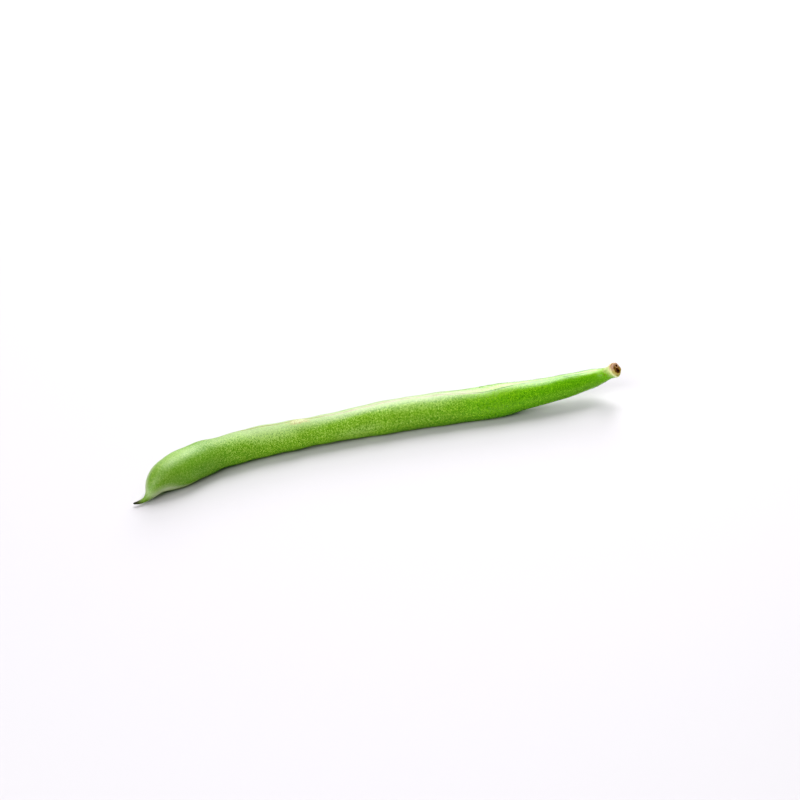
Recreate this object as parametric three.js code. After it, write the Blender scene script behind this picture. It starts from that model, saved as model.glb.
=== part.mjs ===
// A green bean as picked, lying on its side: one long pod that narrows to a thin dry beak at one end and,
// at the other, to a crooked neck whose collar still holds the brown stub of the calyx.
// Millimetres, +Z up. The pod lies along X with its beak at -X. The origin is under the middle of the bean's
// box, on the surface that it rests on.
import * as THREE from 'three';

// Driving dimensions, in millimetres and degrees. Places along the pod are measured on its middle line,
// from the tip of the beak.
const LENGTH = 130;
const TIP = { height: 0.85, heading: -9, climb: -3.5 };

// The bends of the middle line: where each one has its middle, the length that it takes, and how far it
// turns the pod to the left and upwards.
const BENDS = [
  { at: 3, over: 7.5, left: 51, up: 40.5 }, // from the beak round into the blunt end
  { at: 8.2, over: 8.7, left: -21.5, up: -37.2 }, // level with the surface
  { at: 23, over: 10, left: -14, up: 0 },
  { at: 36, over: 12, left: -8.9, up: 0 },
  { at: 73, over: 26, left: -6.2, up: 0 }, // the slow sweep of the middle
  { at: 96, over: 14, left: 0, up: 4.5 }, // the stem end leaves the surface
  { at: 114, over: 14, left: 7.9, up: 0 },
  { at: 124.5, over: 8.8, left: -57, up: 36 }, // the crook of the neck
];

// Half the thickness of the pod: [place, radius].
const THICKNESS = [
  [0, 0.2], [1.2, 0.42], [2.4, 0.52], [4, 0.95], [6, 1.93], [8, 2.8], [11, 3.69], [16, 4.27], [21, 4.19],
  [27, 3.77], [36, 3.73], [44, 3.64], [51, 3.37], [60, 3.68], [70, 4.0], [82, 4.08], [92, 4.02], [98, 4.08],
  [104, 3.65], [110, 3.18], [118, 2.77], [123, 2.4], [125.5, 1.88], [127.5, 1.58], [130, 1.9],
];

// Where the ventral suture runs round the pod: [place, degrees to the left of straight up]. The dorsal
// suture is opposite.
const SUTURE_TURN = [
  [0, 70], [5, 70], [10, 54], [16, 43], [24, 36], [32, 28], [34.5, 14], [41, 5], [44, 5], [48, 14], [52, 11],
  [60, 0], [66, 4], [76, 2], [82, 0], [89, -13], [97, -18], [108, -8], [130, -12],
];
const SUTURE = { depth: 0.14, halfWidth: 0.42, lip: 0.05, lipPlace: 0.95, lipHalfWidth: 0.55 };
const DORSAL_SHARE = 0.6; // how deep the dorsal suture is beside the ventral one
const SUTURE_FADE = { beak: [0.5, 4], neck: [119, 126] };

// The seeds show as low swellings on both flanks.
const SEEDS = { count: 8, first: 17, pitch: 13.2, height: 0.15, reach: 4.6 };
const FLATNESS = 0.018; // how much slimmer the pod is across its flanks than through its sutures

// The collar at the end of the neck, and the stub of the calyx that has shrunk clear of it.
const COLLAR = { wall: 0.3, bevel: 0.12, cupDepth: 0.45 };
const STUB = { gap: 0.15, proud: 0.7, edge: 0.25, dish: 0.12 };
const PITS = [
  { across: -0.55, down: -0.6, radius: 0.3, depth: 0.3 },
  { across: 0.5, down: 0.05, radius: 0.34, depth: 0.3 },
];

const POD_SIDES = 28;
const CROWDING = 0.55; // how strongly the mesh lines gather towards the two sutures
const RING_STEP = { ends: 0.75, middle: 1.45, tail: 12, neck: 121 };
const STUB_SIDES = 20;
const STUB_RINGS = 7;
const LINE_STEP = 0.05; // step along the middle line when its bends are summed up

// 0 before the first value, 1 after the second, and an S-curve between them.
function ease(from, to, value) {
  const t = THREE.MathUtils.clamp((value - from) / (to - from), 0, 1);
  return t * t * (3 - 2 * t);
}

// A smooth curve through [place, value] stations that has no bumps between them.
function throughStations(stations) {
  const last = stations.length - 1;
  const gap = (i) => stations[i + 1][0] - stations[i][0];
  const rise = (i) => (stations[i + 1][1] - stations[i][1]) / gap(i);
  const slopes = stations.map((station, i) => {
    if (i === 0) return rise(0);
    if (i === last) return rise(last - 1);
    const [before, after] = [rise(i - 1), rise(i)];
    if (before * after <= 0) return 0;
    const [wBefore, wAfter] = [2 * gap(i) + gap(i - 1), gap(i) + 2 * gap(i - 1)];
    return (wBefore + wAfter) / (wBefore / before + wAfter / after);
  });
  return (place) => {
    let i = 0;
    while (i < last - 1 && place > stations[i + 1][0]) i += 1;
    const h = gap(i);
    const t = THREE.MathUtils.clamp((place - stations[i][0]) / h, 0, 1);
    return (1 + 2 * t) * (1 - t) ** 2 * stations[i][1] + t * (1 - t) ** 2 * h * slopes[i]
      + t * t * (3 - 2 * t) * stations[i + 1][1] + t * t * (t - 1) * h * slopes[i + 1];
  };
}

const thicknessAt = throughStations(THICKNESS);
const sutureTurnAt = throughStations(SUTURE_TURN);

function headingAndClimb(place) {
  let [heading, climb] = [TIP.heading, TIP.climb];
  for (const bend of BENDS) {
    const done = ease(bend.at - bend.over / 2, bend.at + bend.over / 2, place);
    heading += bend.left * done;
    climb += bend.up * done;
  }
  return [THREE.MathUtils.degToRad(heading), THREE.MathUtils.degToRad(climb)];
}

function directionAt(place) {
  const [heading, climb] = headingAndClimb(place);
  return new THREE.Vector3(
    Math.cos(heading) * Math.cos(climb), Math.sin(heading) * Math.cos(climb), Math.sin(climb),
  );
}

// The middle line as a function from a place to a point.
function middleLine() {
  const points = [new THREE.Vector3(0, 0, TIP.height)];
  const steps = Math.round(LENGTH / LINE_STEP);
  for (let i = 0; i < steps; i += 1) {
    const direction = directionAt((i + 0.5) * LINE_STEP);
    points.push(points[i].clone().addScaledVector(direction, LINE_STEP));
  }
  return (place) => {
    const i = THREE.MathUtils.clamp(Math.floor(place / LINE_STEP), 0, steps - 1);
    return points[i].clone().lerp(points[i + 1], place / LINE_STEP - i);
  };
}

const pointAt = middleLine();

// How far the skin lies outside the plain round pod, at an angle from the ventral suture.
function relief(place, angle, radius) {
  const flank = Math.sin(angle) ** 2;
  let height = FLATNESS * radius * (0.5 - flank);
  for (let i = 0; i < SEEDS.count; i += 1) {
    const fromSeed = (place - SEEDS.first - i * SEEDS.pitch) / SEEDS.reach;
    height += SEEDS.height * flank * Math.exp(-fromSeed * fromSeed);
  }
  const ventral = Math.abs(angle) < Math.PI / 2;
  const fromSuture = radius * (ventral ? Math.abs(angle) : Math.PI - Math.abs(angle));
  const groove = SUTURE.depth * Math.exp(-((fromSuture / SUTURE.halfWidth) ** 2));
  const lip = SUTURE.lip * Math.exp(-(((fromSuture - SUTURE.lipPlace) / SUTURE.lipHalfWidth) ** 2));
  const strength = (ventral ? 1 : DORSAL_SHARE)
    * ease(...SUTURE_FADE.beak, place) * (1 - ease(...SUTURE_FADE.neck, place));
  return height + strength * (lip - groove);
}

// Moves a vertex of an upright lathed shape on to the bent pod.
function bendOntoPod(vertex) {
  const place = vertex.y;
  const radius = Math.hypot(vertex.x, vertex.z);
  let angle = Math.atan2(-vertex.x, vertex.z);
  angle -= CROWDING * Math.sin(2 * angle) / 2;
  const skin = radius > 0 ? radius + relief(place, angle, radius) : 0;

  const direction = directionAt(place);
  const [heading] = headingAndClimb(place);
  const left = new THREE.Vector3(-Math.sin(heading), Math.cos(heading), 0);
  const up = new THREE.Vector3().crossVectors(direction, left);
  const turned = THREE.MathUtils.degToRad(sutureTurnAt(place)) + angle;
  vertex.copy(pointAt(place))
    .addScaledVector(up, skin * Math.cos(turned))
    .addScaledVector(left, skin * Math.sin(turned));
  vertex.z = Math.max(vertex.z, 0); // the swollen parts lie flat where they press on the surface
}

function reshape(geometry, move) {
  const positions = geometry.getAttribute('position');
  const vertex = new THREE.Vector3();
  for (let i = 0; i < positions.count; i += 1) {
    vertex.fromBufferAttribute(positions, i);
    move(vertex);
    positions.setXYZ(i, vertex.x, vertex.y, vertex.z);
  }
  geometry.computeVertexNormals();
  return geometry;
}

// The pod's profile runs from the beak's tip over the skin and the collar's rim to the bottom of the cup.
function podProfile() {
  const profile = [new THREE.Vector2(0, 0)];
  let place = 0;
  while (place < LENGTH - RING_STEP.ends / 2) {
    profile.push(new THREE.Vector2(thicknessAt(place), place));
    const nearEnd = place < RING_STEP.tail || place > RING_STEP.neck;
    place += nearEnd ? RING_STEP.ends : RING_STEP.middle;
  }
  const rim = thicknessAt(LENGTH);
  const inner = rim - COLLAR.wall;
  profile.push(
    new THREE.Vector2(rim, LENGTH - COLLAR.bevel),
    new THREE.Vector2(rim - COLLAR.bevel, LENGTH),
    new THREE.Vector2(inner, LENGTH - COLLAR.bevel),
    new THREE.Vector2(inner, LENGTH - COLLAR.cupDepth),
    new THREE.Vector2(0, LENGTH - COLLAR.cupDepth),
  );
  return profile;
}

function makePod() {
  const skin = new THREE.MeshStandardMaterial({ color: 0x6fa83a, roughness: 0.5, metalness: 0 });
  const pod = new THREE.Mesh(reshape(new THREE.LatheGeometry(podProfile(), POD_SIDES), bendOntoPod), skin);
  pod.name = 'pod';
  return pod;
}

// The stub: a low dry knob, dished on top, with the two pits left by the stalk's strands.
function makeCalyxStub() {
  const radius = thicknessAt(LENGTH) - COLLAR.wall - STUB.gap;
  const base = STUB.gap - COLLAR.cupDepth;
  const profile = [
    new THREE.Vector2(0, base),
    new THREE.Vector2(radius, base),
    new THREE.Vector2(radius, STUB.proud - STUB.edge),
  ];
  for (let i = STUB_RINGS; i >= 0; i -= 1) {
    profile.push(new THREE.Vector2((radius - STUB.edge / 2) * (i / STUB_RINGS), STUB.proud));
  }
  const geometry = reshape(new THREE.LatheGeometry(profile, STUB_SIDES), (vertex) => {
    if (vertex.y < STUB.proud - STUB.edge / 2) return;
    vertex.y -= STUB.dish * (1 - (Math.hypot(vertex.x, vertex.z) / radius) ** 2);
    for (const pit of PITS) {
      const away = Math.hypot(vertex.x - pit.across, vertex.z - pit.down) / pit.radius;
      vertex.y -= pit.depth * Math.exp(-away * away);
    }
  });

  const bark = new THREE.MeshStandardMaterial({ color: 0x6b4428, roughness: 0.85, metalness: 0 });
  const stub = new THREE.Mesh(geometry, bark);
  stub.name = 'calyx_stub';
  stub.position.copy(pointAt(LENGTH));
  stub.quaternion.setFromUnitVectors(new THREE.Vector3(0, 1, 0), directionAt(LENGTH));
  return stub;
}

const bean = new THREE.Group();
bean.add(makePod(), makeCalyxStub());
const middle = new THREE.Box3().setFromObject(bean, true).getCenter(new THREE.Vector3());
bean.position.set(-middle.x, -middle.y, 0);

export default bean;
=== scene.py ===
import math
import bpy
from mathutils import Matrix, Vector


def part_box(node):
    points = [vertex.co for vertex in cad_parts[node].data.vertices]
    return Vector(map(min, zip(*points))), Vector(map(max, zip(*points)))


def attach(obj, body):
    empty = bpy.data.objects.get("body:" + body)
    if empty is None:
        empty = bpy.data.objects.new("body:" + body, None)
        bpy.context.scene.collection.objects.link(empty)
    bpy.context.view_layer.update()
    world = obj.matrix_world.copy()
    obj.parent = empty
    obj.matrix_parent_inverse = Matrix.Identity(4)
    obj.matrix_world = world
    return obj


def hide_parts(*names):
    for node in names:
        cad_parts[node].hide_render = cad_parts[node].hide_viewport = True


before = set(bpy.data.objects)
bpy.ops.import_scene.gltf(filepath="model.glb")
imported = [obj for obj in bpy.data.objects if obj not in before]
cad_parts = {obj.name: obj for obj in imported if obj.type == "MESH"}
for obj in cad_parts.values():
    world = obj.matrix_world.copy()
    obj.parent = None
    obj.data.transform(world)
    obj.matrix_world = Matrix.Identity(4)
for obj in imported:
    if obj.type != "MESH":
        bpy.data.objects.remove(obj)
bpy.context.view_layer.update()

# A green bean, lying on its side on a pale surface. The pod and the stub of its calyx are rebuilt here as
# fine meshes round the same middle line, thickness and sutures as the frame's solids, with the small relief
# that those leave out. Shape values are in millimetres and degrees, and places along the pod are measured on
# its middle line from the tip of the beak, as in the frame.
from types import SimpleNamespace

import bpy
import numpy as np
from mathutils import Vector

MM = 0.001

# ---- the pod's form ----

LENGTH = 130.0
TIP = dict(height=0.85, heading=-9.0, climb=-3.5)
# (middle of the bend, length it takes, degrees to the left, degrees up)
BENDS = [
    (3.0, 7.5, 51.0, 40.5),
    (8.2, 8.7, -21.5, -37.2),
    (23.0, 10.0, -14.0, 0.0),
    (36.0, 12.0, -8.9, 0.0),
    (73.0, 26.0, -6.2, 0.0),
    (96.0, 14.0, 0.0, 4.5),
    (114.0, 14.0, 7.9, 0.0),
    (124.5, 8.8, -57.0, 36.0),
]
# (place, radius)
THICKNESS = [
    (0, 0.2), (1.2, 0.42), (2.4, 0.52), (4, 0.95), (6, 1.93), (8, 2.8), (11, 3.69), (16, 4.27), (21, 4.19),
    (27, 3.77), (36, 3.73), (44, 3.64), (51, 3.37), (60, 3.68), (70, 4.0), (82, 4.08), (92, 4.02), (98, 4.08),
    (104, 3.65), (110, 3.18), (118, 2.77), (123, 2.4), (125.5, 1.88), (127.5, 1.58), (130, 1.9),
]
# (place, degrees to the left from straight up to the ventral suture)
SUTURE_TURN = [
    (0, 70), (5, 70), (10, 54), (16, 43), (24, 36), (32, 28), (34.5, 14), (41, 5), (44, 5), (48, 14),
    (52, 11), (60, 0), (66, 4), (76, 2), (82, 0), (89, -13), (97, -18), (108, -8), (130, -12),
]
DORSAL_SHARE = 0.6
SUTURE_FADE = dict(beak=(0.5, 4.0), neck=(119.0, 126.0))
FLATNESS = 0.018

# The swellings over the seeds differ a little in height and place.
SEEDS = dict(first=17.0, pitch=13.2, height=0.15, reach=4.6, count=8)
SEED_VARIETY = dict(draw=11, height=(0.75, 1.25), slide=(-0.8, 0.8))

# ---- the small relief of the skin ----

# The suture seen close: a shallow valley between two lips, with a fine crease along its bottom.
VALLEY = dict(depth=0.05, half_width=0.5)
CREASE = dict(depth=0.07, half_width=0.13)
LIP = dict(height=0.012, place=0.8, half_width=0.45)
# Along the stem half the ventral suture stands up as a low ridge with the crease on top.
RIDGE = dict(height=0.07, half_width=0.8, rises=(80.0, 90.0), falls=(118.0, 126.0))
# The sutures wander to and fro in a slow and a quick wave.
WANDER = dict(slow=0.16, slow_length=5.1, quick=0.1, quick_length=2.3, quick_shift=1.0, from_beak=(5.0, 15.0))
DORSAL_WANDER = 0.6
# A dried scuff beside the ventral suture, with a rough surface.
SCUFF = dict(place=47.2, across=-0.6, reach=2.7, half_width=1.25, height=0.05)
SCUFF_ROUGH = dict(share=0.8, along=5.5, round=9, slant=2)
# The skin's unevenness, from long low waves to a fine grain.
UNEVENNESS = (
    dict(height=0.07, waves=dict(seed=3, count=9, longest=22.0, shortest=7.0, most_lobes=2)),
    dict(height=0.012, waves=dict(seed=5, count=14, longest=5.0, shortest=1.6, most_lobes=6)),
    dict(height=0.006, waves=dict(seed=8, count=24, longest=1.3, shortest=0.7, most_lobes=26)),
)
UNEVEN_BODY = dict(begins=(4.0, 14.0), ends=(121.0, 127.0))
WAVE_SWAY = 0.7
# The crook's skin is drawn into folds, the collar is lobed where the calyx grew, and the dry beak is
# furrowed.
FOLDS = dict(place=126.6, reach=1.3, depth=0.035, count=11, slant=0.8)
COLLAR_LOBES = dict(begin=(127.6, 129.4), waves=((0.06, 5, 0.6), (0.035, 3, 2.0)))
FURROWS = dict(dry=(0.9, 2.2), depth=0.05, count=4, slant=3, full_radius=0.3)

# The collar's rim and the cup that holds the stub.
COLLAR = dict(wall=0.3, cup_depth=0.45, rim=0.14)
INNER_RELIEF = 0.5
TIP_ROUNDING = dict(length=0.22, least=0.02, point=0.03)
# Where the pod presses on the surface it is flat, with an edge this soft.
SOFT_EDGE = dict(height=0.02, reach=4)

POD_RINGS = 640
POD_SIDES = 140
RIM_RINGS = 8
CUP_RINGS = 3
FLOOR_RINGS = (0.75, 0.5, 0.25)
CROWDING = 0.6
LINE_STEPS = 2600
# The points that close the mesh count as this far from both sutures.
POLES_AWAY = 9.0

# ---- the stub's form ----

STUB = dict(gap=0.02, proud=0.5, edge=0.25, dish=0.12)
PITS = [
    dict(across=-0.55, down=-0.6, radius=0.3, ring=1.0),
    dict(across=0.62, down=-0.05, radius=0.3, ring=0.3),
]
PIT_DEPTH = 0.22
PIT_WALL = (0.45, 1.05)
PIT_RING = dict(height=0.07, away=1.5, width=0.5)
BASIN = dict(across=0.55, down=0.12, radius=0.68, depth=0.08)
BASIN_WALL = (0.6, 1.1)
# The outline is ragged above the collar, and the face is lumpy and ridged toward its edge.
RAGGED = dict(heights=(-0.05, 0.35), waves=((0.05, 5, 0.4), (0.035, 9, 2), (0.02, 17, 1)))
FACE_HEIGHTS = (0.15, 0.45)
LUMPS = (
    dict(height=0.05, waves=dict(seed=21, count=9, longest=1.6, shortest=0.6)),
    dict(height=0.022, waves=dict(seed=22, count=12, longest=0.5, shortest=0.22)),
)
EDGE_RIDGES = dict(height=0.03, count=14, twist=5)
PIT_WOBBLE = dict(height=0.1, waves=dict(seed=23, count=5, longest=0.7, shortest=0.3))
BASIN_WOBBLE = dict(height=0.12, waves=dict(seed=24, count=5, longest=0.9, shortest=0.4))

STUB_SIDES = 128
STUB_RINGS = dict(side=12, edge=8, face=39)

# ---- curves along the pod ----


def ease(low, high, value):
    """0 before low, 1 after high, and an S-curve between them."""
    t = np.clip((value - low) / (high - low), 0.0, 1.0)
    return t * t * (3 - 2 * t)


def bump(value, middle, reach):
    return np.exp(-(((value - middle) / reach) ** 2))


def through_stations(stations, place):
    """The smooth curve through (place, value) stations that has no bumps between them."""
    x, y = (np.array(column, float) for column in zip(*stations))
    gap = np.diff(x)
    rise = np.diff(y) / gap
    slope = np.zeros_like(y)
    slope[0], slope[-1] = rise[0], rise[-1]
    for i in range(1, len(x) - 1):
        if rise[i - 1] * rise[i] > 0:
            before, after = 2 * gap[i] + gap[i - 1], gap[i] + 2 * gap[i - 1]
            slope[i] = (before + after) / (before / rise[i - 1] + after / rise[i])
    i = np.clip(np.searchsorted(x, place) - 1, 0, len(gap) - 1)
    h = gap[i]
    t = np.clip((place - x[i]) / h, 0.0, 1.0)
    return (
        (1 + 2 * t) * (1 - t) ** 2 * y[i] + t * (1 - t) ** 2 * h * slope[i]
        + t * t * (3 - 2 * t) * y[i + 1] + t * t * (t - 1) * h * slope[i + 1]
    )


def heading_and_climb(place):
    heading = np.full_like(place, TIP["heading"])
    climb = np.full_like(place, TIP["climb"])
    for at, over, left, up in BENDS:
        done = ease(at - over / 2, at + over / 2, place)
        heading = heading + left * done
        climb = climb + up * done
    return np.radians(heading), np.radians(climb)


def directions(place):
    heading, climb = heading_and_climb(place)
    return np.stack([np.cos(heading) * np.cos(climb), np.sin(heading) * np.cos(climb), np.sin(climb)], -1)


def middle_line():
    """Points at even steps from the beak's tip to the collar's rim."""
    step = LENGTH / LINE_STEPS
    half_way = (np.arange(LINE_STEPS) + 0.5) * step
    moves = directions(half_way) * step
    start = np.array([[0.0, 0.0, TIP["height"]]])
    return np.vstack([start, start + np.cumsum(moves, 0)])


LINE = middle_line()
LINE_PLACES = np.linspace(0.0, LENGTH, LINE_STEPS + 1)


def points_on_line(place):
    return np.stack([np.interp(place, LINE_PLACES, LINE[:, k]) for k in range(3)], -1)


# ---- relief ----


def waves(place, turn, seed, count, longest, shortest, most_lobes):
    """Smooth unevenness from a few crossing waves, about -1 to 1, that closes round the pod."""
    draw = np.random.default_rng(seed)
    total = np.zeros(np.broadcast(place, turn).shape)
    for _ in range(count):
        length = math.exp(draw.uniform(math.log(shortest), math.log(longest)))
        lobes = draw.integers(0, most_lobes + 1)
        shift, twist = draw.uniform(0, 2 * math.pi, 2)
        sway = WAVE_SWAY * np.sin(lobes * turn + twist)
        total += np.sin(2 * math.pi * place / length + shift + sway) * np.cos(lobes * turn + twist + shift)
    return total / math.sqrt(count)


def ripples(angle, settings):
    """The sum of (height, count, shift) waves round a ring."""
    return sum(height * np.cos(count * angle + shift) for height, count, shift in settings)


def seed_swelling(place, flank):
    draw = np.random.default_rng(SEED_VARIETY["draw"])
    height = np.zeros_like(place * flank)
    for i in range(SEEDS["count"]):
        size = draw.uniform(*SEED_VARIETY["height"])
        middle = SEEDS["first"] + i * SEEDS["pitch"] + draw.uniform(*SEED_VARIETY["slide"])
        height += SEEDS["height"] * size * flank * bump(place, middle, SEEDS["reach"])
    return height


def wrapped(turn):
    """The same turn between half a turn back and half a turn forward."""
    return np.arctan2(np.sin(turn), np.cos(turn))


def from_sutures(place, turn, radius):
    """Distances along the skin from the ventral and the dorsal suture, which both wander a little."""
    wander = WANDER["slow"] * np.sin(place / WANDER["slow_length"])
    wander = wander + WANDER["quick"] * np.sin(place / WANDER["quick_length"] + WANDER["quick_shift"])
    wander = wander * ease(*WANDER["from_beak"], place)
    turn = wrapped(turn)
    ventral = np.abs(radius * turn - wander)
    dorsal = np.abs(radius * (math.pi - np.abs(turn)) + DORSAL_WANDER * wander * np.sign(turn))
    return ventral, dorsal


def suture_relief(place, turn, radius):
    ends = ease(*SUTURE_FADE["beak"], place) * (1 - ease(*SUTURE_FADE["neck"], place))
    ventral, dorsal = from_sutures(place, turn, radius)
    raised = ease(*RIDGE["rises"], place) * (1 - ease(*RIDGE["falls"], place))
    height = raised * RIDGE["height"] * np.exp(-ventral / RIDGE["half_width"])
    for distance, share, hollow in ((ventral, 1.0, 1 - raised), (dorsal, DORSAL_SHARE, 1.0)):
        lips = LIP["height"] * bump(distance, LIP["place"], LIP["half_width"])
        valley = VALLEY["depth"] * bump(distance, 0.0, VALLEY["half_width"])
        crease = CREASE["depth"] * bump(distance, 0.0, CREASE["half_width"])
        height = height + share * ends * (hollow * (lips - valley) - crease)
    return height


def scuff_relief(place, turn, radius):
    scuffed = bump(place, SCUFF["place"], SCUFF["reach"])
    scuffed = scuffed * bump(radius * wrapped(turn), SCUFF["across"], SCUFF["half_width"])
    rough = np.sin(SCUFF_ROUGH["along"] * place)
    rough = rough * np.sin(SCUFF_ROUGH["round"] * turn + SCUFF_ROUGH["slant"] * place)
    return SCUFF["height"] * scuffed * (1 + SCUFF_ROUGH["share"] * rough)


def furrows(turn, place, count, slant):
    """From 0 on the crests to 1 in the furrows that run along the pod."""
    return 0.5 + 0.5 * np.cos(count * turn + slant * place)


def pod_relief(place, turn, radius):
    """How far the skin lies outside the plain round pod."""
    flank = np.sin(turn) ** 2
    height = FLATNESS * radius * (0.5 - flank) + seed_swelling(place, flank)
    height = height + suture_relief(place, turn, radius) + scuff_relief(place, turn, radius)
    body = ease(*UNEVEN_BODY["begins"], place) * (1 - ease(*UNEVEN_BODY["ends"], place))
    for layer in UNEVENNESS:
        height = height + body * layer["height"] * waves(place, turn, **layer["waves"])
    crook = bump(place, FOLDS["place"], FOLDS["reach"])
    height = height - crook * FOLDS["depth"] * furrows(turn, place, FOLDS["count"], FOLDS["slant"])
    collar = ease(*COLLAR_LOBES["begin"], place)
    height = height + collar * ripples(turn, COLLAR_LOBES["waves"])
    dry = 1 - ease(*FURROWS["dry"], place)
    dry = dry * np.minimum(radius / FURROWS["full_radius"], 1.0)
    return height - dry * FURROWS["depth"] * furrows(turn, place, FURROWS["count"], FURROWS["slant"])


# ---- meshes ----


def ring_mesh(name, rings, first_pole, last_pole):
    """One closed mesh from a grid of rings (rings, sides, 3) and a point at each end."""
    count, sides = rings.shape[:2]
    vertices = np.vstack([rings.reshape(-1, 3), first_pole[None], last_pole[None]])
    low = np.arange(count - 1)[:, None] * sides + np.arange(sides)[None]
    next_low = np.arange(count - 1)[:, None] * sides + (np.arange(sides) + 1)[None] % sides
    quads = np.stack([low, low + sides, next_low + sides, next_low], -1).reshape(-1, 4)
    first, last = count * sides, count * sides + 1
    around = np.arange(sides)
    beyond = (around + 1) % sides
    top = (count - 1) * sides
    start_fan = [(first, a, b) for a, b in zip(around.tolist(), beyond.tolist())]
    end_fan = [(last, top + b, top + a) for a, b in zip(around.tolist(), beyond.tolist())]
    mesh = bpy.data.meshes.new(name)
    mesh.from_pydata(vertices.tolist(), [], quads.tolist() + start_fan + end_fan)
    mesh.validate()
    mesh.shade_smooth()
    return mesh


def store(mesh, name, values):
    """Keeps a number or a vector for each vertex, for the materials to read."""
    kind = "FLOAT_VECTOR" if values.ndim == 2 else "FLOAT"
    attribute = mesh.attributes.new(name, kind, "POINT")
    attribute.data.foreach_set("vector" if values.ndim == 2 else "value", values.astype(np.float32).ravel())


def add_piece(mesh):
    piece = bpy.data.objects.new(mesh.name, mesh)
    bpy.context.collection.objects.link(piece)
    return piece


def pod_profile():
    """(place, radius, share of relief) down the skin, over the collar's rim and to the bottom of the cup."""
    skin_places = np.linspace(0.0, LENGTH - COLLAR["rim"], POD_RINGS)
    to_full = (1 - skin_places / TIP_ROUNDING["length"]).clip(0, 1)
    skin_radii = through_stations(THICKNESS, skin_places)
    skin_radii = skin_radii * np.sqrt(np.clip(1 - to_full**2, TIP_ROUNDING["least"], 1))
    rim_radius = skin_radii[-1]
    inner = rim_radius - COLLAR["wall"]
    half = COLLAR["wall"] / 2
    arc = np.linspace(0, math.pi, RIM_RINGS + 1)[1:]
    rim_places = LENGTH - COLLAR["rim"] + COLLAR["rim"] * np.sin(arc)
    rim_radii = inner + half + half * np.cos(arc)
    cup_steps = np.linspace(0, COLLAR["cup_depth"] - COLLAR["rim"], CUP_RINGS + 1)[1:]
    cup_places = LENGTH - COLLAR["rim"] - cup_steps
    cup_radii = np.full(CUP_RINGS, inner)
    floor_radii = inner * np.array(FLOOR_RINGS)
    floor_places = np.full(len(FLOOR_RINGS), cup_places[-1])
    places = np.concatenate([skin_places, rim_places, cup_places, floor_places])
    radii = np.concatenate([skin_radii, rim_radii, cup_radii, floor_radii])
    inside = np.concatenate([cup_radii, floor_radii]) / inner
    share = [np.ones(POD_RINGS), np.linspace(1, INNER_RELIEF, RIM_RINGS), INNER_RELIEF * inside]
    return places, radii, np.concatenate(share)


def around_pod(places, radii, share, turn):
    """Points of the skin at each place (rows) and turn from the ventral suture (columns)."""
    place, radius, part = places[:, None], radii[:, None], share[:, None]
    skin = radius + part * pod_relief(place + 0 * turn, turn[None] + 0 * place, radius + 0 * turn)
    along = directions(places)
    heading, _ = heading_and_climb(places)
    left = np.stack([-np.sin(heading), np.cos(heading), 0 * heading], -1)
    up = np.cross(along, left)
    turned = np.radians(through_stations(SUTURE_TURN, places))[:, None] + turn[None]
    points = (
        points_on_line(places)[:, None]
        + (skin * np.cos(turned))[..., None] * up[:, None]
        + (skin * np.sin(turned))[..., None] * left[:, None]
    )
    return points, skin


def settle(points):
    """Presses what would reach below the surface flat against it, with a soft edge."""
    height = points[..., 2]
    soft = SOFT_EDGE["height"]
    pressed = soft * np.log1p(np.exp(height / soft))
    points[..., 2] = np.where(height < SOFT_EDGE["reach"] * soft, pressed, height)
    return points


def place_in_frame(points):
    """How far the pod's box moves, level, to sit where the frame's pod does."""
    low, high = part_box("pod")
    own_low, own_high = points.reshape(-1, 3).min(0), points.reshape(-1, 3).max(0)
    shift = (np.array(low) + np.array(high)) / 2 / MM - (own_low + own_high) / 2
    shift[2] = 0.0
    return shift


def make_pod():
    even = np.arange(POD_SIDES) / POD_SIDES * 2 * math.pi
    turn = even - CROWDING * np.sin(2 * even) / 2
    places, radii, share = pod_profile()
    points, skin = around_pod(places, radii, share, turn)
    points = settle(points)
    shift = place_in_frame(points)
    first = points_on_line(places[:1])[0] - TIP_ROUNDING["point"] * directions(places)[0]
    last = points_on_line(places[-1:])[0]
    mesh = ring_mesh("pod_skin", (points + shift) * MM, (first + shift) * MM, (last + shift) * MM)

    place = places[:, None] + 0 * turn
    ventral, dorsal = from_sutures(place, turn[None] + 0 * place, radii[:, None])
    straight = np.stack([place, skin * np.cos(turn), skin * np.sin(turn)], -1)
    unrolled = np.stack([place, radii[:, None] * wrapped(turn), 0 * skin], -1)
    poles = [[0.0, 0.0, 0.0], [places[-1], 0.0, 0.0]]
    store(mesh, "straight", np.vstack([straight.reshape(-1, 3), poles]))
    store(mesh, "unrolled", np.vstack([unrolled.reshape(-1, 3), poles]))
    store(mesh, "from_ventral", np.append(ventral.ravel(), [POLES_AWAY, POLES_AWAY]))
    store(mesh, "from_dorsal", np.append(dorsal.ravel(), [POLES_AWAY, POLES_AWAY]))
    return add_piece(mesh), shift


# ---- the stub of the calyx ----


def lumps(across, down, seed, count, longest, shortest):
    """Uneven ground, about -1 to 1, from a few crossing waves."""
    draw = np.random.default_rng(seed)
    total = np.zeros(np.broadcast(across, down).shape)
    for _ in range(count):
        length = math.exp(draw.uniform(math.log(shortest), math.log(longest)))
        way, shift = draw.uniform(0, 2 * math.pi, 2)
        total += np.sin(2 * math.pi * (across * math.cos(way) + down * math.sin(way)) / length + shift)
    return total / math.sqrt(count)


def lumpy(across, down, layer):
    return layer["height"] * lumps(across, down, **layer["waves"])


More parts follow.
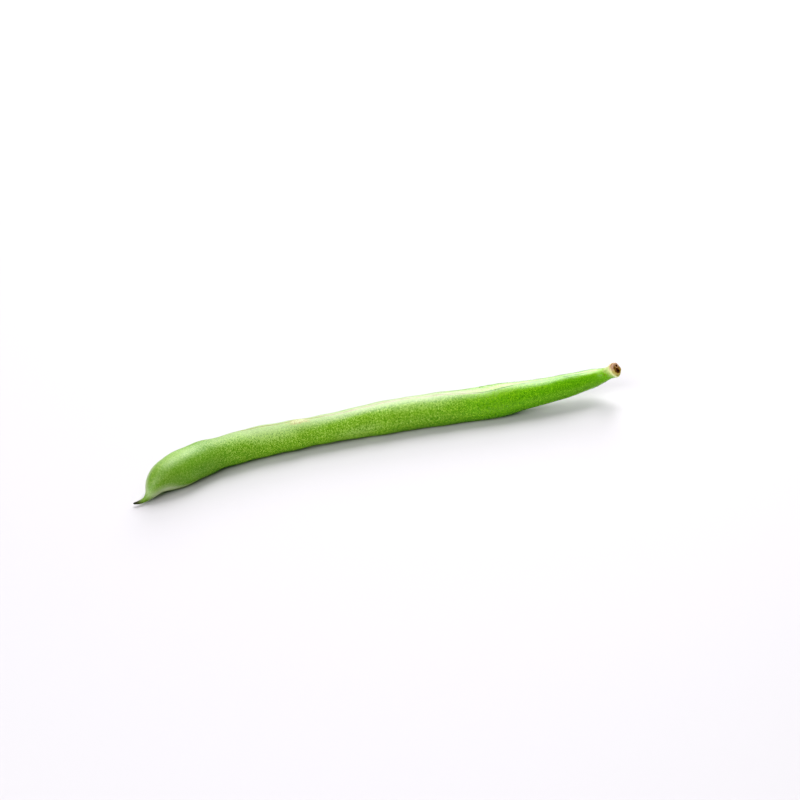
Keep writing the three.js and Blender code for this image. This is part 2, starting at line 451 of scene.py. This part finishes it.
def stub_profile(radius, base):
    """(height, radius) up the stub's side, over its edge and in to the middle of its face."""
    side_heights = np.linspace(base, STUB["proud"] - STUB["edge"], STUB_RINGS["side"])
    corner = np.linspace(0, math.pi / 2, STUB_RINGS["edge"] + 1)[1:]
    edge_heights = STUB["proud"] - STUB["edge"] + STUB["edge"] * np.sin(corner)
    edge_radii = radius - STUB["edge"] * (1 - np.cos(corner))
    face_radii = edge_radii[-1] * np.linspace(1, 0, STUB_RINGS["face"] + 2)[1:-1]
    heights = np.concatenate([side_heights, edge_heights, np.full(len(face_radii), STUB["proud"])])
    radii = np.concatenate([np.full(len(side_heights), radius), edge_radii, face_radii])
    return heights, radii


def stub_marks(across, down):
    """Shares, over the stub, of the pits, the swollen rings round them and the basin below one of them."""
    hollow = np.zeros_like(across)
    ring = np.zeros_like(across)
    for pit in PITS:
        away = np.hypot(across - pit["across"], down - pit["down"]) / pit["radius"]
        away = away + lumpy(across, down, PIT_WOBBLE)
        hollow = np.maximum(hollow, 1 - ease(*PIT_WALL, away))
        ring = np.maximum(ring, pit["ring"] * bump(away, PIT_RING["away"], PIT_RING["width"]))
    from_basin = np.hypot(across - BASIN["across"], down - BASIN["down"]) / BASIN["radius"]
    basin = 1 - ease(*BASIN_WALL, from_basin + lumpy(across, down, BASIN_WOBBLE))
    return dict(hollow=hollow, rim=ring, basin=basin)


def make_stub(shift):
    radius = through_stations(THICKNESS, np.array([LENGTH]))[0] - COLLAR["wall"] - STUB["gap"]
    base = STUB["gap"] - COLLAR["cup_depth"]
    heights, radii = stub_profile(radius, base)
    angle = np.arange(STUB_SIDES)[None] / STUB_SIDES * 2 * math.pi
    flat_height = heights[:, None]
    ragged = 1 + ease(*RAGGED["heights"], flat_height) * ripples(angle, RAGGED["waves"])
    across = radii[:, None] * ragged * np.sin(angle)
    down = radii[:, None] * ragged * np.cos(angle)
    out = np.hypot(across, down) / radius
    rise = sum(lumpy(across, down, layer) for layer in LUMPS) - STUB["dish"] * (1 - out**2)
    ridges = np.cos(EDGE_RIDGES["count"] * angle + EDGE_RIDGES["twist"] * out)
    rise = rise + EDGE_RIDGES["height"] * ridges * out**2
    marks = stub_marks(across, down)
    rise = rise + PIT_RING["height"] * marks["rim"]
    rise = rise - BASIN["depth"] * marks["basin"] - PIT_DEPTH * marks["hollow"]
    face = ease(*FACE_HEIGHTS, flat_height)
    height = flat_height + face * rise

    axis = directions(np.array([LENGTH]))[0]
    turn = np.array(Vector((0, 1, 0)).rotation_difference(Vector(axis)).to_matrix())
    centre = points_on_line(np.array([LENGTH]))[0] + shift
    local = np.stack([across, height, down], -1)
    poles = np.array([[0.0, base, 0.0], [0.0, height[-1].mean(), 0.0]])
    points = local @ turn.T + centre
    ends = poles @ turn.T + centre
    mesh = ring_mesh("calyx_scar", points * MM, ends[0] * MM, ends[1] * MM)
    store(mesh, "local", np.vstack([local.reshape(-1, 3), poles]))
    for name, mark in marks.items():
        store(mesh, name, np.append((face * mark).ravel(), [0.0, mark[-1].mean()]))
    return add_piece(mesh)


# ---- materials ----


class Nodes:
    """A material's node tree, with short calls to add nodes and join them."""

    def __init__(self, name):
        self.material = bpy.data.materials.new(name)
        self.material.use_nodes = True
        self.tree = self.material.node_tree
        self.tree.nodes.clear()
        self.out = self.tree.nodes.new("ShaderNodeOutputMaterial")

    def put(self, socket, value):
        """Links another node's socket, or sets a constant."""
        if isinstance(value, bpy.types.NodeSocket):
            self.tree.links.new(value, socket)
        else:
            socket.default_value = value

    def add(self, kind, **settings):
        node = self.tree.nodes.new(kind)
        for key, value in settings.items():
            if key in node.inputs:
                self.put(node.inputs[key], value)
            else:
                setattr(node, key, value)
        return node

    def math(self, operation, a, b):
        node = self.tree.nodes.new("ShaderNodeMath")
        node.operation = operation
        self.put(node.inputs[0], a)
        self.put(node.inputs[1], b)
        return node.outputs[0]

    def plus(self, a, b):
        return self.math("ADD", a, b)

    def minus(self, a, b):
        return self.math("SUBTRACT", a, b)

    def times(self, first, *others):
        for other in others:
            first = self.math("MULTIPLY", first, other)
        return first

    def most(self, a, b):
        return self.math("MAXIMUM", a, b)

    def between(self, value, low, high, to_low=0.0, to_high=1.0):
        """An S-curve from to_low, where the value is low or less, to to_high."""
        node = self.add("ShaderNodeMapRange", interpolation_type="SMOOTHSTEP")
        for socket, item in zip(node.inputs, (value, low, high, to_low, to_high)):
            self.put(socket, item)
        return node.outputs["Result"]

    def mix(self, share, first, second):
        node = self.add("ShaderNodeMix", data_type="RGBA", Factor=share)
        self.put(node.inputs[6], first)
        self.put(node.inputs[7], second)
        return node.outputs[2]

    def attribute(self, name, output="Fac"):
        return self.add("ShaderNodeAttribute", attribute_name=name).outputs[output]

    def noise(self, vector, scale, detail=3.0, roughness=0.55):
        node = self.add("ShaderNodeTexNoise", Vector=vector, Scale=scale, Detail=detail, Roughness=roughness)
        return node.outputs["Fac"]

    def wobble(self, vector, scale, reach, detail=3.0):
        """Noise round 0, at most half the reach up and down."""
        return self.times(self.minus(self.noise(vector, scale, detail), 0.5), reach)

    def cells(self, vector, scale):
        return self.add("ShaderNodeTexVoronoi", Vector=vector, Scale=scale).outputs["Distance"]

    def stretch(self, vector, scale):
        node = self.add("ShaderNodeVectorMath", operation="MULTIPLY")
        self.put(node.inputs[0], vector)
        self.put(node.inputs[1], scale)
        return node.outputs["Vector"]

    def bump(self, height, distance, strength):
        node = self.add("ShaderNodeBump", Height=height, Distance=distance, Strength=strength)
        return node.outputs["Normal"]

    def surface(self, sockets):
        """Ends the tree in one principled shader with the given sockets."""
        shader = self.tree.nodes.new("ShaderNodeBsdfPrincipled")
        for name, value in sockets.items():
            self.put(shader.inputs[name], value)
        self.put(self.out.inputs["Surface"], shader.outputs[0])
        return self.material


def srgb(red, green, blue):
    """A colour given as it looks on a screen, 0 to 255."""
    screen = (red / 255, green / 255, blue / 255)
    return tuple(c / 12.92 if c <= 0.04045 else ((c + 0.055) / 1.055) ** 2.4 for c in screen) + (1.0,)


FROST_GREEN = srgb(112, 146, 60)
TAIL_GREEN = srgb(114, 158, 58)
BODY_GREEN = srgb(124, 172, 46)
STEM_GREEN = srgb(106, 170, 8)
# Pale frosty green, also used as painted highlight.
BLOOM_AND_HIGHLIGHT = srgb(190, 218, 142)
FROST_GRAIN = srgb(156, 188, 98)
LIGHT_GRAIN = srgb(176, 208, 106)
STEM_GRAIN = srgb(154, 204, 54)
# Dark green of the grain and clouds, also used as painted shade on the lower flank.
DARK_GRAIN_AND_SHADE = srgb(82, 132, 4)
# Pale tones along the ventral suture, partly the skin's own and partly painted highlight.
SUTURE_PALE_AND_HIGHLIGHT = srgb(178, 192, 150)
STEM_PALE_AND_HIGHLIGHT = srgb(186, 220, 124)
# Pale colour for painted rim light from the pale floor.
RIM_LIGHT_PAINT = srgb(206, 216, 182)
SUTURE_BROWN = srgb(136, 114, 64)
SUTURE_PINK = srgb(176, 160, 138)
# Dark green of the creases, partly their own colour and partly painted shade.
SUTURE_GREEN_AND_SHADE = srgb(58, 100, 10)
SCUFF_TAN = srgb(180, 172, 112)
SCUFF_CREAM = srgb(192, 200, 146)
RUST = srgb(140, 92, 44)
CREAM = srgb(230, 234, 172)
RIM_TAN = srgb(206, 178, 140)
DRY_BROWN = srgb(80, 84, 58)
DRY_BLACK = srgb(36, 36, 30)
SHEEN = srgb(220, 245, 190)
STRAW = srgb(214, 204, 150)
SCAR_TAN = srgb(152, 122, 72)
SCAR_DARK = srgb(84, 56, 20)
SCAR_PINK = srgb(196, 162, 138)
SCAR_STRAW = srgb(200, 186, 118)
PIT_BLACK = srgb(14, 5, 3)

# ---- the pod's skin ----

# Below, a range is (from, to) or (from, to, value before, value after). Places and distances are millimetres,
# a noise's own range is 0 to 1, and its scale is in waves a millimetre.

GROUND = dict(
    drift=dict(scale=0.09, reach=30.0, detail=2.0),
    tail=(7.0, 18.0),
    body=(16.0, 45.0),
    stem=(68.0, 104.0),
    clouds=0.35,
    cloudy=(0.4, 0.75, 0.0, 0.3),
)
# Soft pale patches on the unrolled skin, partly frosty bloom and partly painted highlight: around is measured
# from the ventral suture.
BLOOM_AND_HIGHLIGHT_PATCHES = (
    dict(place=14.5, around=-2.8, reach=7.5, half_width=3.4, share=0.45),
    dict(place=36.0, around=-3.3, reach=17.0, half_width=2.6, share=0.42),
    dict(place=61.0, around=-6.8, reach=8.0, half_width=3.0, share=0.3),
    dict(place=78.0, around=-2.7, reach=15.0, half_width=1.9, share=0.32),
)
# Painted shade: darker green over the lower flank of the middle stretch.
PAINTED_SHADE_PATCH = dict(place=82.0, around=-8.6, reach=22.0, half_width=4.4, share=0.5)
PATCH_EDGE = (0.2, 1.0)
GRAIN = dict(
    fine=dict(scale=5.2, detail=2.0, roughness=0.7),
    slants=(0.9, -0.9),
    stroke=dict(scale=5.0, detail=1.0),
    drawn_out=(0.28, 1.0, 1.0),
    sets_in=(6.0, 30.0, 0.45, 1.0),
    weakens=(100.0, 122.0, 1.0, 0.6),
    light_from=(14.0, 40.0),
    stem_from=(78.0, 100.0),
    light=(0.53, 0.60, 0.0, 0.9),
    dark=(0.44, 0.52, 1.0, 0.0),
    relief=dict(distance=0.00016, strength=0.8),
)
# A pale band along the ventral suture, partly the skin's own tone and partly painted highlight, stronger on
# the suture's upper side.
PALE_BAND_AND_HIGHLIGHT = dict(
    begins=(18.0, 32.0),
    ends=(98.0, 116.0, 1.0, 0.0),
    full_within=0.6,
    reach=(44.0, 62.0, 4.8, 2.6),
    share=0.55,
    near_side=(-0.5, 0.2, 0.45, 1.0),
    both_sides=(80.0, 92.0, 1.0, 0.0),
)
# Painted highlight on top of the crook.
CROOK_PAINTED_HIGHLIGHT = dict(begins=(117.0, 123.0), width=(0.3, 1.2, 0.5, 0.0))
# Painted rim light along both sutures near the beak, where the pod's edges catch light from the floor.
TAIL_PAINTED_RIM_LIGHT = dict(begins=(4.0, 8.0), ends=(14.0, 32.0, 1.0, 0.0), width=(0.3, 1.4, 0.7, 0.0))
PALE_STEM = (82.0, 100.0)
# Painted rim light and reflection of the pale floor along both edges of the blunt end.
PAINTED_RIM_LIGHT = dict(
    begins=(2.8, 4.8),
    ends=(8.0, 15.0, 1.0, 0.0),
    from_dorsal=(0.2, 2.6, 0.5, 0.0),
    from_ventral=(0.8, 2.5, 0.45, 0.0),
)
SUTURE_LOOK = dict(
    begins=(16.0, 32.0),
    ends=(119.0, 126.0, 1.0, 0.0),
    wear=0.5,
    worn=(0.3, 0.6, 0.45, 1.0),
    crease=(0.08, 0.34, 0.75, 0.0),
    faint_from=(104.0, 111.0, 1.0, 0.4),
    pink_from=(48.0, 58.0),
    green_from=(90.0, 96.0),
    lip_inner=(0.16, 0.3),
    lip_outer=(0.34, 0.5, 0.6, 0.0),
    lips_begin=(50.0, 60.0),
    lips_end=(84.0, 92.0, 1.0, 0.0),
    dorsal=(0.04, 0.24, 0.5, 0.0),
)
SCUFF_LOOK = dict(
    ragged=dict(scale=1.5, reach=1.8),
    tan=(0.85, 1.15, 0.5, 0.0),
    cream=(0.5, 0.95, 0.8, 0.0),
    flecks=dict(scale=3.2, detail=2.0),
    fleck=(0.53, 0.61, 0.0, 0.6),
    fleck_reach=(0.7, 1.1, 1.0, 0.0),
)
SPECKS = dict(cells=0.11, ragged=dict(scale=2.2, reach=0.06), size=(0.012, 0.04, 0.5, 0.0))
END_LOOK = dict(
    uneven=dict(scale=0.9, reach=3.0),
    sooner_at_suture=0.5,
    cream=(126.0, 128.8, 0.0, 0.9),
    rim=(129.3, 129.8),
    rim_share=0.8,
    rim_tan=(0.3, 1.5, 0.0, 0.8),
    tip_uneven=0.3,
    brown=(1.0, 2.6, 1.0, 0.0),
    black=(0.2, 1.3, 0.9, 0.0),
)
ROUGHNESS = dict(
    noise=1.1,
    patchy=(0.3, 0.7, 0.34, 0.44),
    frosty=(18.0, 28.0, 0.08, 0.24),
    middle=(42.0, 64.0, 0.0, -0.24),
    stem=(80.0, 108.0, 0.0, -0.2),
    tip=(1.0, 2.6, 0.3, 0.0),
)


def skin_inputs(n):
    """What the mesh tells of each point of the skin."""
    straight = n.attribute("straight", "Vector")
    unrolled = n.attribute("unrolled", "Vector")
    place, to_ventral, _ = n.add("ShaderNodeSeparateXYZ", Vector=straight).outputs
    return SimpleNamespace(
        straight=straight,
        unrolled=unrolled,
        place=place,
        to_ventral=to_ventral,
        around=n.add("ShaderNodeSeparateXYZ", Vector=unrolled).outputs["Y"],
        ventral=n.attribute("from_ventral"),
        dorsal=n.attribute("from_dorsal"),
    )


def away_from(n, skin, middle_place, middle_around, reach, half_width):
    """Distance over the unrolled skin from a middle, 1 on the ellipse of the given size."""
    along = n.math("DIVIDE", n.minus(skin.place, middle_place), reach)
    across = n.math("DIVIDE", n.minus(skin.around, middle_around), half_width)
    return n.math("SQRT", n.plus(n.times(along, along), n.times(across, across)), 0.0)


def patch(n, skin, spot):
    """A soft spot's share over the unrolled skin."""
    away = away_from(n, skin, spot["place"], spot["around"], spot["reach"], spot["half_width"])
    return n.between(away, *PATCH_EDGE, spot["share"], 0.0)


def ground_colour(n, skin):
    """Green from the frosty tail to the deep stem end, with darker clouds, pale patches partly of bloom and
    partly painted highlight, and painted shade on the lower flank.
    """
    shifted = n.plus(skin.place, n.wobble(skin.straight, **GROUND["drift"]))
    colour = n.mix(n.between(skin.place, *GROUND["tail"]), FROST_GREEN, TAIL_GREEN)
    colour = n.mix(n.between(shifted, *GROUND["body"]), colour, BODY_GREEN)
    colour = n.mix(n.between(shifted, *GROUND["stem"]), colour, STEM_GREEN)
    clouds = n.noise(skin.straight, GROUND["clouds"])
    colour = n.mix(n.between(clouds, *GROUND["cloudy"]), colour, DARK_GRAIN_AND_SHADE)
    # Pale patches, partly bloom and partly painted highlight.
    for spot in BLOOM_AND_HIGHLIGHT_PATCHES:
        colour = n.mix(patch(n, skin, spot), colour, BLOOM_AND_HIGHLIGHT)
    # Painted shade on the lower flank.
    return n.mix(patch(n, skin, PAINTED_SHADE_PATCH), colour, DARK_GRAIN_AND_SHADE)


def slanting_strokes(n, unrolled, slant):
    """Noise drawn out along a slant over the unrolled skin."""
    turned = n.add("ShaderNodeVectorRotate", rotation_type="Z_AXIS", Vector=unrolled, Angle=slant)
    return n.noise(n.stretch(turned.outputs["Vector"], GRAIN["drawn_out"]), **GRAIN["stroke"])


def mottling(n, skin):
    """Half fine grain, half short slanting strokes that cross."""
    grain = n.noise(skin.straight, **GRAIN["fine"])
    strokes = n.most(*(slanting_strokes(n, skin.unrolled, slant) for slant in GRAIN["slants"]))
    return n.plus(n.times(grain, 0.5), n.times(strokes, 0.5))


def add_grain(n, skin, colour, mottle):
    showing = n.times(n.between(skin.place, *GRAIN["sets_in"]), n.between(skin.place, *GRAIN["weakens"]))
    light = n.mix(n.between(skin.place, *GRAIN["light_from"]), FROST_GRAIN, LIGHT_GRAIN)
    light = n.mix(n.between(skin.place, *GRAIN["stem_from"]), light, STEM_GRAIN)
    colour = n.mix(n.times(n.between(mottle, *GRAIN["light"]), showing), colour, light)
    return n.mix(n.times(n.between(mottle, *GRAIN["dark"]), showing), colour, DARK_GRAIN_AND_SHADE)


def add_paling_and_painted_light(n, skin, colour):
    """Pales the skin along the ventral suture, partly its own tone and partly painted highlight, paints a
    highlight on top of the crook, and paints rim light by both sutures near the beak and round the blunt end.
    """
    def stretch(look):
        """The share along the pod from where something begins to where it ends."""
        return n.times(n.between(skin.place, *look["begins"]), n.between(skin.place, *look["ends"]))

    reach = n.between(skin.place, *PALE_BAND_AND_HIGHLIGHT["reach"])
    body = n.between(skin.ventral, PALE_BAND_AND_HIGHLIGHT["full_within"], reach, PALE_BAND_AND_HIGHLIGHT["share"], 0.0)
    # Stronger on the upper side of the suture, where the highlight falls: painted highlight.
    near_side = n.between(skin.around, *PALE_BAND_AND_HIGHLIGHT["near_side"])
    near_side = n.most(near_side, n.between(skin.place, *PALE_BAND_AND_HIGHLIGHT["both_sides"]))
    body = n.times(body, stretch(PALE_BAND_AND_HIGHLIGHT), near_side)
    # Painted highlight on top of the crook, along the ventral suture.
    crook = n.between(skin.ventral, *CROOK_PAINTED_HIGHLIGHT["width"])
    crook = n.times(crook, n.between(skin.place, *CROOK_PAINTED_HIGHLIGHT["begins"]))
    # Painted rim light by both sutures near the beak.
    from_either = n.math("MINIMUM", skin.ventral, skin.dorsal)
    tail = n.times(n.between(from_either, *TAIL_PAINTED_RIM_LIGHT["width"]), stretch(TAIL_PAINTED_RIM_LIGHT))
    pale_and_highlight_tint = n.mix(n.between(skin.place, *PALE_STEM), SUTURE_PALE_AND_HIGHLIGHT, STEM_PALE_AND_HIGHLIGHT)
    colour = n.mix(n.most(n.most(body, crook), tail), colour, pale_and_highlight_tint)

    # Painted rim light and floor reflection round the blunt end.
    painted_rim = n.between(skin.dorsal, *PAINTED_RIM_LIGHT["from_dorsal"])
    painted_rim = n.most(painted_rim, n.between(skin.ventral, *PAINTED_RIM_LIGHT["from_ventral"]))
    return n.mix(n.times(painted_rim, stretch(PAINTED_RIM_LIGHT)), colour, RIM_LIGHT_PAINT)


def add_sutures(n, skin, colour):
    """The ventral suture is brown toward the beak, two faint pinkish lines along the middle and a dark green
    crease toward the neck, its green partly painted shade. The dorsal one is a fine green crease, also partly
    painted shade."""
    look = SUTURE_LOOK
    inside = n.times(n.between(skin.place, *look["begins"]), n.between(skin.place, *look["ends"]))
    worn = n.between(n.noise(skin.straight, look["wear"]), *look["worn"])
    crease = n.times(n.between(skin.ventral, *look["crease"]), inside, worn)
    crease = n.times(crease, n.between(skin.place, *look["faint_from"]))
    tint = n.mix(n.between(skin.place, *look["pink_from"]), SUTURE_BROWN, SUTURE_PINK)
    tint = n.mix(n.between(skin.place, *look["green_from"]), tint, SUTURE_GREEN_AND_SHADE)
    colour = n.mix(crease, colour, tint)
    lips = n.times(n.between(skin.ventral, *look["lip_inner"]), n.between(skin.ventral, *look["lip_outer"]))
    lips = n.times(lips, n.between(skin.place, *look["lips_begin"]), worn)
    lips = n.times(lips, n.between(skin.place, *look["lips_end"]))
    colour = n.mix(lips, colour, SUTURE_PINK)
    return n.mix(n.times(n.between(skin.dorsal, *look["dorsal"]), inside), colour, SUTURE_GREEN_AND_SHADE)


def add_scuff(n, skin, colour):
    """The scuff beside the ventral suture has dried cream with tan edges and rusty flecks."""
    away = away_from(n, skin, SCUFF["place"], SCUFF["across"], SCUFF["reach"], SCUFF["half_width"])
    away = n.plus(away, n.wobble(skin.straight, **SCUFF_LOOK["ragged"]))
    colour = n.mix(n.between(away, *SCUFF_LOOK["tan"]), colour, SCUFF_TAN)
    colour = n.mix(n.between(away, *SCUFF_LOOK["cream"]), colour, SCUFF_CREAM)
    flecks = n.between(n.noise(skin.straight, **SCUFF_LOOK["flecks"]), *SCUFF_LOOK["fleck"])
    return n.mix(n.times(flecks, n.between(away, *SCUFF_LOOK["fleck_reach"])), colour, RUST)


def add_specks(n, skin, colour):
    """A few rusty specks."""
    away = n.plus(n.cells(skin.straight, SPECKS["cells"]), n.wobble(skin.straight, **SPECKS["ragged"]))
    return n.mix(n.between(away, *SPECKS["size"]), colour, RUST)


def add_ends(n, skin, colour, uneven, toward_tip):
    """The collar pales to cream, with tan on the upper part of its rim, and the beak dries to dark brown."""
    sooner = n.times(skin.ventral, END_LOOK["sooner_at_suture"])
    toward_rim = n.minus(n.plus(skin.place, uneven), sooner)
    colour = n.mix(n.between(toward_rim, *END_LOOK["cream"]), colour, CREAM)
    on_rim = n.between(skin.place, *END_LOOK["rim"])
    colour = n.mix(n.times(on_rim, END_LOOK["rim_share"]), colour, CREAM)
    colour = n.mix(n.times(on_rim, n.between(skin.to_ventral, *END_LOOK["rim_tan"])), colour, RIM_TAN)
    colour = n.mix(n.between(toward_tip, *END_LOOK["brown"]), colour, DRY_BROWN)
    return n.mix(n.between(toward_tip, *END_LOOK["black"]), colour, DRY_BLACK)


def skin_roughness(n, skin, toward_tip):
    """Dullest on the frosty tail half and the dry tip, smoother in the middle, smoothest at the stem end."""
    rough = n.between(n.noise(skin.straight, ROUGHNESS["noise"]), *ROUGHNESS["patchy"])
    for stretch in ("frosty", "middle", "stem"):
        rough = n.plus(rough, n.between(skin.place, *ROUGHNESS[stretch]))
    return n.plus(rough, n.between(toward_tip, *ROUGHNESS["tip"]))


def skin_material():
    n = Nodes("pod_skin")
    skin = skin_inputs(n)
    mottle = mottling(n, skin)
    uneven = n.wobble(skin.straight, **END_LOOK["uneven"])
    toward_tip = n.plus(skin.place, n.times(uneven, END_LOOK["tip_uneven"]))
    colour = ground_colour(n, skin)
    colour = add_grain(n, skin, colour, mottle)
    for add_layer in (add_paling_and_painted_light, add_sutures, add_scuff, add_specks):
        colour = add_layer(n, skin, colour)
    colour = add_ends(n, skin, colour, uneven, toward_tip)
    return n.surface({
        "Base Color": colour,
        "Roughness": skin_roughness(n, skin, toward_tip),
        "Normal": n.bump(mottle, **GRAIN["relief"]),
        "IOR": 1.45,
        "Specular IOR Level": 1.0,
        "Subsurface Weight": 0.05,
        "Subsurface Radius": (0.35, 0.8, 0.12),
        "Subsurface Scale": 0.0012,
        "Sheen Weight": 0.06,
        "Sheen Roughness": 0.35,
        "Sheen Tint": SHEEN,
    })


# ---- the dry stub ----

SCAR_LOOK = dict(
    blotches=dict(scale=1.5, detail=4.0),
    dark_blotch=(0.36, 0.62, 0.5, 0.0),
    fine=dict(scale=7.0, detail=3.0),
    dark_fine=(0.42, 0.58, 0.4, 0.0),
    edge_uneven=1.2,
    edge=(0.85, 1.45, 0.0, 0.85),
    lower_across=0.9,
    lower_down=0.45,
    face_tint=(-0.5, 0.6),
    side_tint=(-0.9, 0.5),
    side=(0.0, 0.3, 0.85, 0.0),
    basin=(0.15, 0.7, 0.0, 0.85),
    rim=(0.3, 0.9, 0.0, 0.7),
    hollow=(0.15, 0.6, 0.0, 1.0),
    relief=dict(distance=0.00012, strength=0.8),
)


def scar_material():
    """Blotched brown, pinkish toward the upper edge and straw toward the lower one, with black pits."""
    look = SCAR_LOOK
    n = Nodes("dry_calyx")
    local = n.attribute("local", "Vector")
    across, height, down = n.add("ShaderNodeSeparateXYZ", Vector=local).outputs
    blotch = n.noise(local, **look["blotches"])
    fine = n.noise(local, **look["fine"])
    colour = n.mix(n.between(blotch, *look["dark_blotch"]), SCAR_TAN, SCAR_DARK)
    colour = n.mix(n.between(fine, *look["dark_fine"]), colour, SCAR_DARK)

    out = n.math("SQRT", n.plus(n.times(across, across), n.times(down, down)), 0.0)
    edge = n.plus(out, n.times(n.minus(blotch, 0.5), look["edge_uneven"]))
    lower = n.plus(n.times(across, look["lower_across"]), n.times(down, look["lower_down"]))
    on_face = n.mix(n.between(lower, *look["face_tint"]), SCAR_PINK, SCAR_STRAW)
    on_side = n.mix(n.between(lower, *look["side_tint"]), SCAR_PINK, STRAW)
    colour = n.mix(n.between(edge, *look["edge"]), colour, on_face)
    colour = n.mix(n.between(height, *look["side"]), colour, on_side)
    for mark, tint in (("basin", SCAR_DARK), ("rim", SCAR_PINK), ("hollow", PIT_BLACK)):
        colour = n.mix(n.between(n.attribute(mark), *look[mark]), colour, tint)
    relief = n.bump(fine, **look["relief"])
    return n.surface({"Base Color": colour, "Roughness": 0.7, "Normal": relief, "Specular IOR Level": 0.4})


# ---- the pieces ----

pod, bean_shift = make_pod()
pod.data.materials.append(skin_material())
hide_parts("pod")
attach(pod, "root")

scar = make_stub(bean_shift)
scar.data.materials.append(scar_material())
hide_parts("calyx_stub")
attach(scar, "root")

# ---- floor, light and camera, in metres, watts and degrees ----

FLOOR = dict(half=3.0, colour=(0.62, 0.605, 0.63, 1.0), roughness=0.6, specular=0.2)
VIEW = dict(azimuth=-23.8, elevation=30.0, distance=0.5461, target=(0.01012, 0.00888, 0.0042), lens=100.0)
SENSOR_WIDTH = 36.0
CLIP = (0.01, 20.0)
# Each softbox's place is given forward, right and up as the camera looks, and it faces the bean.
SOFTBOXES = (
    dict(name="window", forward=0.52, right=0.12, up=0.86, size=(0.42, 0.8), power=9.1),
    dict(name="back", forward=0.92, right=0.12, up=0.4, size=(0.56, 0.4), power=4.2),
    dict(name="front", forward=-0.75, right=-0.45, up=0.55, size=(0.8, 0.6), power=8.1),
)
STUDIO_LIGHT = 0.4
FILM_GAMMA = 0.8
# (light in, light out): deep shadows are kept a little darker
FILM_CURVE = ((0.06, 0.018), (0.14, 0.108), (0.3, 0.3))


def make_floor():
    half = FLOOR["half"]
    mesh = bpy.data.meshes.new("floor")
    corners = [(-half, -half, 0), (half, -half, 0), (half, half, 0), (-half, half, 0)]
    mesh.from_pydata(corners, [], [(0, 1, 2, 3)])
    look = {
        "Base Color": FLOOR["colour"],
        "Roughness": FLOOR["roughness"],
        "Specular IOR Level": FLOOR["specular"],
    }
    mesh.materials.append(Nodes("floor").surface(look))
    add_piece(mesh)


def view_directions():
    """The camera's right and its level forward direction."""
    a = math.radians(VIEW["azimuth"])
    return Vector((math.cos(a), math.sin(a), 0)), Vector((-math.sin(a), math.cos(a), 0))


def make_camera():
    _, forward = view_directions()
    e = math.radians(VIEW["elevation"])
    back = -forward * math.cos(e) + Vector((0, 0, math.sin(e)))
    data = bpy.data.cameras.new("camera")
    data.lens = VIEW["lens"]
    data.sensor_width = SENSOR_WIDTH
    data.clip_start, data.clip_end = CLIP
    camera = bpy.data.objects.new("camera", data)
    camera.location = Vector(VIEW["target"]) + back * VIEW["distance"]
    camera.rotation_euler = (-back).to_track_quat("-Z", "Y").to_euler()
    bpy.context.collection.objects.link(camera)
    bpy.context.scene.camera = camera


def add_softbox(name, forward, right, up, size, power):
    right_way, forward_way = view_directions()
    light = bpy.data.lights.new(name, "AREA")
    light.shape = "RECTANGLE"
    light.size, light.size_y = size
    light.energy = power
    lamp = bpy.data.objects.new(name, light)
    lamp.location = forward_way * forward + right_way * right + Vector((0, 0, up))
    lamp.rotation_euler = (-lamp.location).to_track_quat("-Z", "Y").to_euler()
    lamp.visible_camera = False
    bpy.context.collection.objects.link(lamp)


def make_lights():
    for softbox in SOFTBOXES:
        add_softbox(**softbox)
    world = bpy.data.worlds.new("studio")
    world.use_nodes = True
    background = world.node_tree.nodes["Background"]
    background.inputs["Color"].default_value = (1, 1, 1, 1)
    background.inputs["Strength"].default_value = STUDIO_LIGHT
    bpy.context.scene.world = world


def set_film():
    settings = bpy.context.scene.view_settings
    settings.view_transform = "Standard"
    settings.look = "None"
    settings.gamma = FILM_GAMMA
    settings.use_curve_mapping = True
    for light_in, light_out in FILM_CURVE:
        settings.curve_mapping.curves[3].points.new(light_in, light_out)
    settings.curve_mapping.update()


make_floor()
make_lights()
make_camera()
set_film()
